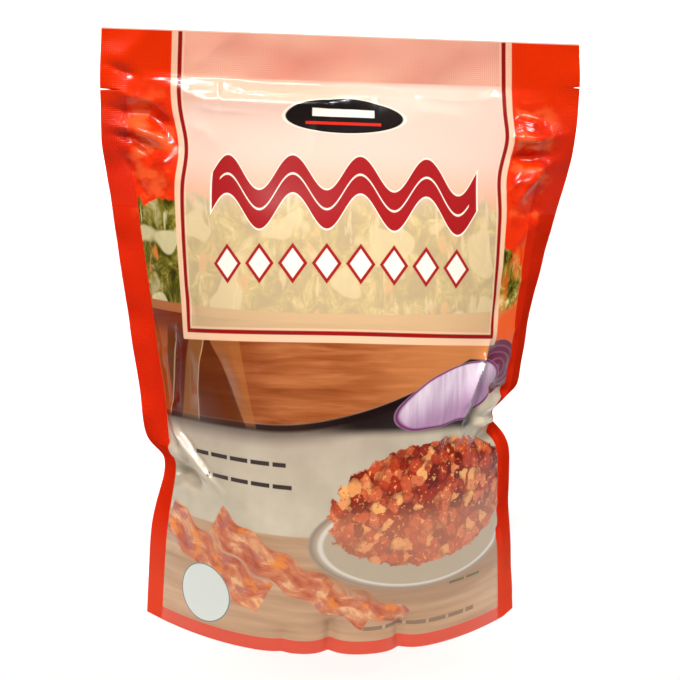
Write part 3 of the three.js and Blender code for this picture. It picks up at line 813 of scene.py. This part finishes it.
WOOD_MOTTLE = dict(size=4, detail=4, roughness=0.55, distortion=0.5, scale=(0.1, 1)), [
    (0.3, (132, 62, 20)), (0.5, (158, 84, 42)), (0.72, (186, 110, 62))]
GRAIN_NOISE = dict(size=1.1, detail=3, roughness=0.6, turn=4, scale=(0.06, 1))
GRAIN_FADES = [((142, 62, 18), 0.55, 0.75, 0.5)]
WOOD_FADES = [((112, 34, 2), -20, -84, 0.9), ((232, 148, 86), -6, 60, 0.55)]
WOOD_RIM_FADES = [((196, 122, 70), 4.6, 4.0, 0.6)]
EMBER, EMBER_LEFT, EMBER_FOOT, EMBER_SLOPE, EMBER_TOP = (236, 92, 34), 78, (140, 146), 0.6, (112, 106)


def paint_wood(p, inside):
    """A brown field with a long grain, whose lower edge rises to the right. Returns that edge."""
    past_bend = p.most(p.mul(p.sub(p.across, WOOD_BEND), 1 / WOOD_REACH), 0)
    foot = p.least(p.mul_add(p.power(past_bend, WOOD_SHAPE), WOOD_RISE, WOOD_FOOT), WOOD_FOOT_MOST)
    top = p.mul_add(p.power(p.mul(p.across, 1 / SEAL_ROOT), 2), WOOD_TOP_SAG, WOOD_TOP)
    wood = p.all_of(inside, p.below(p.sub(p.up, top), 0, soft=0.4), p.above(p.sub(p.up, foot), 0, soft=0.5))
    p.layer(p.mottle(*WOOD_MOTTLE), wood)
    p.fades(p.noise(**GRAIN_NOISE), GRAIN_FADES, wood)
    p.fades(p.across, WOOD_FADES, wood)
    p.fades(p.sub(top, p.up), WOOD_RIM_FADES, wood)
    ember = p.all_of(inside, p.above(p.across, EMBER_LEFT, soft=0.4), p.edge(p.up, *EMBER_FOOT))
    p.layer(EMBER, ember, p.edge(p.sub(p.up, p.mul(p.across, EMBER_SLOPE)), *EMBER_TOP))
    return foot


CLOTH_MOTTLE = dict(size=26, detail=5), [
    (0.3, (176, 162, 140)), (0.6, (200, 186, 162)), (0.8, (214, 204, 182))]
CLOTH_FADES = [((168, 146, 132), 34, 4, 0.5), ((20, 4, 4), 3.8, 2.0, 0.97), ((50, 26, 22), 11, 2, 0.7)]
SHADOW_WIDTH, SHADOW_FADES = ((-30, 8), (74, 66)), [((22, 6, 8), 103, 108, 0.97)]
BOARD_MOTTLE = dict(size=5, detail=4, scale=(0.08, 1)), [
    (0.3, (168, 130, 96)), (0.5, (184, 146, 112)), (0.7, (198, 160, 126))]


def paint_table(p, inside, foot):
    """A pale cloth with a dark shadow along the foot of the wood, and a warm board below."""
    depth = p.sub(foot, p.up)
    cloth = p.all_of(inside, p.above(depth, 0, soft=0.5))
    p.layer(p.mottle(*CLOTH_MOTTLE), cloth)
    p.fades(depth, CLOTH_FADES, cloth)
    p.fades(p.up, SHADOW_FADES, cloth, p.between(p.across, *SHADOW_WIDTH))
    slanted = p.mul_add(p.across, -BOARD_SLOPE, p.up)
    p.layer(p.mottle(*BOARD_MOTTLE), inside, p.below(slanted, BOARD_TOP, soft=0.5))


FLUTE_HEIGHTS = (104, 108), (152, 142)
# A painted highlight along the ends of the lit flutes.
FLUTE_LIGHT_FADES = [((222, 184, 142), 0.5, 0, 0.55)]


def paint_flute_light_and_shade(p, inside):
    """Facets of the film that fan out under the label's left foot, in painted shade and painted light by
    turns.
    """
    zone = p.all_of(inside, p.between(p.up, *FLUTE_HEIGHTS))
    higher = p.sub(p.up, FLUTE_LEVEL)
    past = [p.mul_add(higher, -slope, p.sub(p.across, end)) for end, slope, _, _ in FLUTE_FACET_SHADING]
    # Paints each facet's shade and light.
    for i, (_, _, colour, share) in enumerate(FLUTE_FACET_SHADING):
        facet = [zone, p.below(past[i], 0, soft=0.4)]
        if i:
            facet.append(p.above(past[i - 1], 0, soft=0.4))
        p.layer(colour, *facet, share=share)
    for i in LIT_FLUTES:
        p.fades(p.size(past[i]), FLUTE_LIGHT_FADES, zone)


RING_TURNS = 26
FAR_FADES, RING_FADES = [((106, 40, 66), 1.03, 0.99, 1)], [((138, 80, 106), 0.2, 0.9, 0.7)]
NEAR_WOBBLE, NEAR_SLOPE, NEAR_LEVEL = (30, 1, 0.5), 0.36, 101
NEAR_MOTTLE = dict(size=3, turn=66, scale=(1, 0.12)), [
    (0.3, (196, 168, 190)), (0.6, (222, 202, 214)), (0.8, (236, 222, 226))]
NEAR_SHADE_FADES, NEAR_SKIN_FADES = [((150, 96, 142), 6, -8, 0.7)], [((112, 44, 92), 0.9, 0.97, 1)]


def paint_violet(p, inside):
    """Two rounded violet slices, ringed."""
    far = p.ellipse(*FAR_SLICE)
    p.fades(far, FAR_FADES, inside)
    p.fades(p.sine(p.mul(far, RING_TURNS)), RING_FADES, inside, p.edge(far, 1, 0.96))
    near = p.add(p.ellipse(*NEAR_SLICE), p.wobble(*NEAR_WOBBLE))
    on_near = p.all_of(inside, p.edge(near, 1.02, 0.98))
    p.layer(p.mottle(*NEAR_MOTTLE), on_near)
    p.fades(p.sub(p.up, p.mul_add(p.across, NEAR_SLOPE, NEAR_LEVEL)), NEAR_SHADE_FADES, on_near)
    p.fades(near, NEAR_SKIN_FADES, on_near)


DISH_GREY, DISH_RIM, DISH_LIGHT = (178, 160, 136), (150, 130, 112), (222, 214, 202)
DISH_OUTLINE, DISH_RIM_INNER, DISH_LIGHT_BAND = (1.015, 0.985), (0.93, 0.98), ((0.87, 0.9), (0.94, 0.91))
DISH_SHADE_FADES = [((150, 112, 84), 1.08, 0.9, 0.6)]
MOUND_WOBBLE, MOUND_OUTLINE = (5, 3, 0.26), (1.01, 0.98)
CRUMB_SIZE, CRUMB_BEND, CRUMB_BEND_SIZE, CRUMB_BEND_TURN = 5.2, 7, 6, 50
CRUMB_TONES = [(0.0, (104, 16, 8)), (0.25, (166, 44, 20)), (0.5, (196, 76, 42)), (0.75, (214, 112, 70)),
               (0.92, (236, 168, 100))]
GRIT_NOISE = dict(size=2.2, detail=3, roughness=0.6)
GRIT_FADES = [((246, 194, 110), 0.58, 0.66, 0.7), ((92, 14, 8), 0.42, 0.34, 0.6)]
GAP_FADES, HAZE_FADES = [((84, 12, 8), 0.45, 0.8, 0.6)], [((206, 138, 106), 80, 62, 0.45)]


def paint_dish(p, inside):
    """A mound of crumbs on a pale oval dish."""
    dish = p.ellipse(*DISH)
    p.fades(p.ellipse(*DISH_SHADE), DISH_SHADE_FADES, inside)
    p.layer(DISH_GREY, inside, p.edge(dish, *DISH_OUTLINE))
    p.layer(DISH_RIM, inside, p.between(dish, DISH_RIM_INNER, DISH_OUTLINE))
    p.layer(DISH_LIGHT, inside, p.between(dish, *DISH_LIGHT_BAND), share=0.7)
    mound = p.add(p.ellipse(*MOUND), p.wobble(*MOUND_WOBBLE))
    on_mound = p.all_of(inside, p.edge(mound, *MOUND_OUTLINE))
    across = p.mul_add(p.noise(CRUMB_BEND_SIZE), CRUMB_BEND, p.across)
    up = p.mul_add(p.noise(CRUMB_BEND_SIZE, turn=CRUMB_BEND_TURN), CRUMB_BEND, p.up)
    bent = p.place(across, up)
    crumbs = p.node("ShaderNodeTexVoronoi", {"Vector": bent, "Scale": 1 / CRUMB_SIZE})
    tone = p.node("ShaderNodeSeparateColor", {0: crumbs.outputs["Color"]}).outputs[0]
    p.layer(p.ramp(tone, CRUMB_TONES), on_mound)
    p.fades(p.noise(**GRIT_NOISE), GRIT_FADES, on_mound)
    p.fades(crumbs.outputs["Distance"], GAP_FADES, on_mound)
    p.fades(p.up, HAZE_FADES, on_mound)


STRIP_WAVE, STRIP_WAVE_RISE = 0.33, 1.3
STREAK_NOISE, STREAK_STRETCH = dict(size=6, detail=4, roughness=0.6, distortion=0.5), 0.5
STREAK_TONES = [(0.3, (150, 62, 40)), (0.43, (188, 96, 60)), (0.54, (202, 124, 86)), (0.66, (226, 172, 122))]
BLOTCH_NOISE = dict(size=10, detail=3, turn=20)
BLOTCH_FADES = [((226, 128, 44), 0.55, 0.64, 0.75), ((166, 92, 92), 0.45, 0.36, 0.6)]


def paint_strips(p, inside):
    """Three wavy strips of red and cream across the board."""
    c, s = math.cos(STRIP_TURN), math.sin(STRIP_TURN)
    for middle, half_length, half_width in STRIPS:
        x, y = p.sub(p.across, middle[0]), p.sub(p.up, middle[1])
        length = p.mul_add(x, c, p.mul(y, s))
        breadth = p.mul_add(y, c, p.mul(x, -s))
        breadth = p.mul_add(p.sine(p.mul(length, STRIP_WAVE)), STRIP_WAVE_RISE, breadth)
        strip = p.all_of(inside, p.near(breadth, half_width, soft=0.4), p.near(length, half_length, soft=0.5))
        streaks = p.noise(across=p.mul(length, STREAK_STRETCH), up=breadth, **STREAK_NOISE)
        p.layer(p.ramp(streaks, STREAK_TONES), strip)
        p.fades(p.noise(**BLOTCH_NOISE), BLOTCH_FADES, strip)


LABEL_FADES = [(PALE, 196, 232, 0.6)]
# A darker tint painted along the shoulder under the header: painted shade that lets its highlights stand out.
SHOULDER_END, SHOULDER_SHADE_FADES = (40, -30), [((230, 174, 146), 251, 255, 0.7)]
# The header's salmon in paler and darker diagonal streaks: painted light across its own colour.
HEADER_LIGHT_MOTTLE = dict(size=26, detail=1, turn=-30, scale=(0.5, 1)), [
    (0.35, (226, 138, 116)), (0.6, (238, 168, 142))]
LINE_OUTER, LINE_INNER = (SHARP, -SHARP), (-LINE_WIDTH - SHARP, -LINE_WIDTH + SHARP)
LABEL_RIM, INNER_RIM, INNER_RIM_WIDTH = (246, 196, 160), (246, 200, 168), 1


def paint_label(p):
    """The pale panel that hangs from the top edge, framed by a thin red line, with some painted light and
    shade.
    """
    panel = p.below(p.box(LABEL_HALF_WIDTH, LABEL_FOOT, LABEL_TOP, LABEL_ROUNDING), 0, soft=0.3)
    p.layer(VEIL, panel, share=0.7)
    p.fades(p.up, LABEL_FADES, panel)
    # Painted shade along the shoulder.
    p.fades(p.up, SHOULDER_SHADE_FADES, panel, p.edge(p.across, *SHOULDER_END))
    # Painted light streaks in the header.
    p.layer(p.mottle(*HEADER_LIGHT_MOTTLE), panel, p.above(p.up, HEADER_LINE, soft=0.4), share=0.9)
    line = p.box(LINE_HALF_WIDTH, LINE_FOOT, LABEL_TOP, LINE_ROUNDING)
    p.layer(LABEL_RIM, panel, p.above(line, 0), share=0.8)
    p.layer(LINE_RED, p.between(line, LINE_INNER, LINE_OUTER))
    inner_rim = p.all_of(p.below(line, -LINE_WIDTH), p.above(line, -LINE_WIDTH - INNER_RIM_WIDTH, soft=0.2))
    p.layer(INNER_RIM, inner_rim, share=0.5)


# Ribbon: half its height, half its length and its colour, for its rim, its body and its thread.
RIBBON = (9.9, 61.6, (252, 232, 214)), (9.1, 60.8, (158, 24, 26)), (0.5, 57, (250, 224, 206))
RIBBON_MIDDLE, RIBBON_LEVEL, RIBBON_RISE, RIBBON_PITCH = 1, 210, 8.5, 30
ROW_HALF_LENGTH = 60
LOZENGE_LEVEL, LOZENGE_PITCH, LOZENGE_HALF_WIDTH, LOZENGE_HALF_HEIGHT = 177, 15, 6.6, 9
LOZENGE_FADES = [((158, 26, 24), 1.02, 0.97, 1), ((250, 226, 214), 0.76, 0.71, 1)]
PLAQUE_FADES = [((250, 226, 206), 1.02, 0.99, 1), ((22, 14, 12), 0.965, 0.935, 1)]
# Bars on the plaque: how far up, half the height, half the length, the colour.
BARS = (245, 0.75, 17, (214, 40, 22)), (250, 1.75, 14, (240, 228, 214))
DISC_GREY, DISC_RIM = (206, 210, 202), (110, 112, 104)
DISC_OUTLINE, DISC_RIM_INNER = (1.01, 0.99), (0.95, 0.965)
# Rows of dashes: left end, right end, how far up, half the height, the colour.
DASHES = [(-75, -26, 91, 0.9, (60, 50, 46)), (-68, -23.2, 82, 0.9, (60, 50, 46)),
          (10, 72, 13.5, 1.1, (136, 108, 84)), (54, 76, 31, 0.6, (96, 96, 64))]
DASH_START, DASH_PITCH, DASH_GAP = -100, 11, 1.6
MARK_SOFT = 0.2


def paint_marks(p):
    """Bare marks in place of words: a ribbon, a row of lozenges, a plaque, a disc and plain dashes."""
    turns = p.mul(p.add(p.across, ROW_HALF_LENGTH), 2 * math.pi / RIBBON_PITCH)
    ribbon = p.sub(p.up, p.mul_add(p.sine(turns), RIBBON_RISE, RIBBON_LEVEL))
    for half_height, half_length, colour in RIBBON:
        p.layer(colour, p.near(ribbon, half_height), p.near(p.sub(p.across, RIBBON_MIDDLE), half_length))

    from_middle = p.sub(p.cycle(p.add(p.across, ROW_HALF_LENGTH), LOZENGE_PITCH), LOZENGE_PITCH / 2)
    reach = p.add(p.mul(p.size(from_middle), 1 / LOZENGE_HALF_WIDTH),
                  p.mul(p.size(p.sub(p.up, LOZENGE_LEVEL)), 1 / LOZENGE_HALF_HEIGHT))
    p.fades(reach, LOZENGE_FADES, p.near(p.across, ROW_HALF_LENGTH, MARK_SOFT))

    p.fades(p.ellipse(*PLAQUE), PLAQUE_FADES)
    for up, half_height, half_length, colour in BARS:
        p.layer(colour, p.near(p.sub(p.up, up), half_height, 0.15), p.near(p.across, half_length, MARK_SOFT))

    disc = p.ellipse(*DISC)
    p.layer(DISC_GREY, p.edge(disc, *DISC_OUTLINE))
    p.layer(DISC_RIM, p.between(disc, DISC_RIM_INNER, DISC_OUTLINE))

    for left, right, up, half_height, colour in DASHES:
        dashed = p.above(p.cycle(p.sub(p.across, DASH_START), DASH_PITCH), DASH_GAP, MARK_SOFT)
        row = p.all_of(p.above(p.across, left, MARK_SOFT), p.below(p.across, right, MARK_SOFT))
        p.layer(colour, p.near(p.sub(p.up, up), half_height, MARK_SOFT), row, dashed)


# The bottom border is painted paler and more orange: a painted reflection of the pale floor.
BORDER_REFLECTION_FADES = [((206, 72, 48), 12, 9, 1)]


def front_print(name, **finish):
    p = Paint(name, RED)
    beside_seals = p.all_of(p.above(p.across, PRINT_LEFT, soft=0.3), p.below(p.across, PRINT_RIGHT, soft=0.3))
    inside = p.all_of(beside_seals, p.above(p.up, BORDER_TOP, soft=0.3))
    # Painted light and shade on the crumpled upper corners.
    paint_corner_light_and_shade(p)
    paint_leaves(p, inside)
    paint_glow(p, inside)
    # Painted reflection of the floor on the bottom border.
    p.fades(p.up, BORDER_REFLECTION_FADES)
    foot = paint_wood(p, inside)
    paint_table(p, inside, foot)
    paint_flute_light_and_shade(p, inside)
    paint_violet(p, inside)
    paint_strips(p, inside)
    paint_dish(p, inside)
    paint_label(p)
    paint_marks(p)
    return film_finish(p, **finish)


def back_print():
    p = Paint("back_print", RED)
    p.layer(PALE, p.below(p.box(**BACK_LABEL), 0, soft=0.3))
    p.layer(LINE_RED, p.between(p.box(**BACK_LINE), LINE_INNER, LINE_OUTER))
    return film_finish(p)


# The seals turn to the film's red towards the top; their foot is painted paler, a painted reflection of the
# floor.
SEAL_TOP_FADES, SEAL_FOOT_REFLECTION_FADES = [(RED, 236, 262, 1)], [((214, 74, 48), 60, 20, 0.7)]


def seal_print(name, **finish):
    p = Paint(name, SEAL_RED)
    p.fades(p.up, SEAL_TOP_FADES)
    # Painted light and shade of the crumpled upper corners, carried into the seals.
    paint_corner_light_and_shade(p)
    # Painted reflection of the floor on the seals' foot.
    p.fades(p.up, SEAL_FOOT_REFLECTION_FADES)
    return film_finish(p, roughness=0.32, **finish)


BASE_MOTTLE = dict(size=20, detail=3), [(0.3, (200, 42, 16)), (0.7, (218, 54, 22))]


def base_print():
    p = Paint("base_print", RED)
    p.colour = p.mottle(*BASE_MOTTLE)
    return film_finish(p)


# ---- the stage ----

FLOOR_RADIUS, COVE, WALL_HEIGHT = 2.2, 0.5, 0.8
FLOOR_SIDES, COVE_STEPS = 96, 12
FLOOR_COLOUR, FLOOR_ROUGHNESS = (0.88, 0.88, 0.87, 1), 0.7


def floor():
    """A pale floor that curves up into a wall all round, far from the pack."""
    profile = [(0.001, 0), (0.6, 0), (FLOOR_RADIUS, 0)]
    for i in range(1, COVE_STEPS + 1):
        angle = math.radians(90 * i / COVE_STEPS)
        profile.append((FLOOR_RADIUS + COVE * math.sin(angle), COVE * (1 - math.cos(angle))))
    profile.append((FLOOR_RADIUS + COVE, WALL_HEIGHT))
    angles = [2 * math.pi * t / FLOOR_SIDES for t in range(FLOOR_SIDES)]
    points = [(r * math.cos(angle), r * math.sin(angle), z) for r, z in profile for angle in angles]
    quads = []
    for ring in range(0, (len(profile) - 1) * FLOOR_SIDES, FLOOR_SIDES):
        for t in range(FLOOR_SIDES):
            here, beside = ring + t, ring + (t + 1) % FLOOR_SIDES
            quads.append((here, beside, beside + FLOOR_SIDES, here + FLOOR_SIDES))
    mesh = bpy.data.meshes.new("floor")
    mesh.from_pydata(points, [], quads)
    mesh.polygons.foreach_set("use_smooth", [True] * len(quads))
    paint = bpy.data.materials.new("floor")
    paint.use_nodes = True
    shader = paint.node_tree.nodes["Principled BSDF"]
    shader.inputs["Base Color"].default_value = FLOOR_COLOUR
    shader.inputs["Roughness"].default_value = FLOOR_ROUGHNESS
    mesh.materials.append(paint)
    link("floor", mesh)


WORLD_STRENGTH = 0.12
PACK_MIDDLE = (0, 0, 0.15)
# Each light's place, where it aims, its size, its power and its spread in degrees.
LIGHTS = {
    "key": ((-0.48, -0.95, 1.12), PACK_MIDDLE, (0.8, 0.5), 0.68, 28),
    "spark": ((-0.28, -0.98, 1.25), PACK_MIDDLE, (0.85, 0.045), 0.36, 28),
    "upper": ((0, -0.72, 1.45), PACK_MIDDLE, (1.3, 0.5), 0.20, 32),
    "crown": ((-0.08, -0.58, 1.45), (-0.05, -0.04, 0.26), (0.4, 0.03), 0.11, 16),
    "right": ((0.75, -0.75, 1.25), PACK_MIDDLE, (0.4, 0.3), 0.24, 28),
    "rear_floor": ((0.05, 1.4, 1.5), (0.05, 1.4, 0), (1.6, 2.5), 16.5, 50),
    "backdrop": ((0.25, 1.6, 1.3), (0.25, 2.5, 0.1), (2.2, 0.7), 8.5, 70),
}


def lights():
    """Boxes whose reflections fall on the folds that shine in the photo, and a white ground behind."""
    world = bpy.data.worlds.new("room")
    bpy.context.scene.world = world
    world.use_nodes = True
    background = world.node_tree.nodes["Background"]
    background.inputs["Color"].default_value = (1, 1, 1, 1)
    background.inputs["Strength"].default_value = WORLD_STRENGTH
    for name, (place, aim, size, power, spread) in LIGHTS.items():
        light = bpy.data.lights.new(name, "AREA")
        light.shape = "RECTANGLE"
        light.size, light.size_y = size
        light.energy = power
        light.spread = math.radians(spread)
        holder = link(name, light)
        holder.location = place
        holder.rotation_euler = (Vector(aim) - Vector(place)).to_track_quat("-Z", "Y").to_euler()


# ---- the camera that took the photograph, solved from the pack's outline ----

IMAGE_SIDE = 680
VIEW_DISTANCE = 0.620
VIEW_TARGET_HEIGHT = 0.142
VIEW_AZIMUTH = math.radians(-4.342)
VIEW_ELEVATION = math.radians(13.188)
VIEW_ROLL = math.radians(1.358)
FOCAL_PIXELS = 1280.837
CENTRE_PIXEL = (336.458, 339.193)
SENSOR = 36.0
NEAREST_SEEN = 0.02


def camera(centre):
    """Aims the camera at the pack's middle. centre is how far the pouch was moved."""
    data = bpy.data.cameras.new("camera")
    data.sensor_width = SENSOR
    data.lens = FOCAL_PIXELS * SENSOR / IMAGE_SIDE
    data.shift_x = (IMAGE_SIDE / 2 - CENTRE_PIXEL[0]) / IMAGE_SIDE
    data.shift_y = (CENTRE_PIXEL[1] - IMAGE_SIDE / 2) / IMAGE_SIDE
    data.clip_start = NEAREST_SEEN
    target = Vector((0, 0, VIEW_TARGET_HEIGHT)) - Vector(centre) * MM
    aim = Matrix.Rotation(VIEW_AZIMUTH, 4, "Z") @ Matrix.Rotation(math.pi / 2 - VIEW_ELEVATION, 4, "X")
    back_off = Matrix.Rotation(VIEW_ROLL, 4, "Z") @ Matrix.Translation((0, 0, VIEW_DISTANCE))
    holder = link("camera", data)
    holder.matrix_world = Matrix.Translation(target) @ aim @ back_off
    bpy.context.scene.camera = holder


pouch, centre = build_pouch([
    front_print("front_print"),
    front_print("header_print", level=0.12, coat=0.12),
    back_print(),
    base_print(),
    seal_print("seal_print", level=0, coat=0),
    seal_print("upper_seal_print", level=0.12, coat=0.12),
])
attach(pouch, "root")
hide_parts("pouch")
floor()
lights()
camera(centre)

view = bpy.context.scene.view_settings
view.view_transform = "Standard"
view.look = "None"
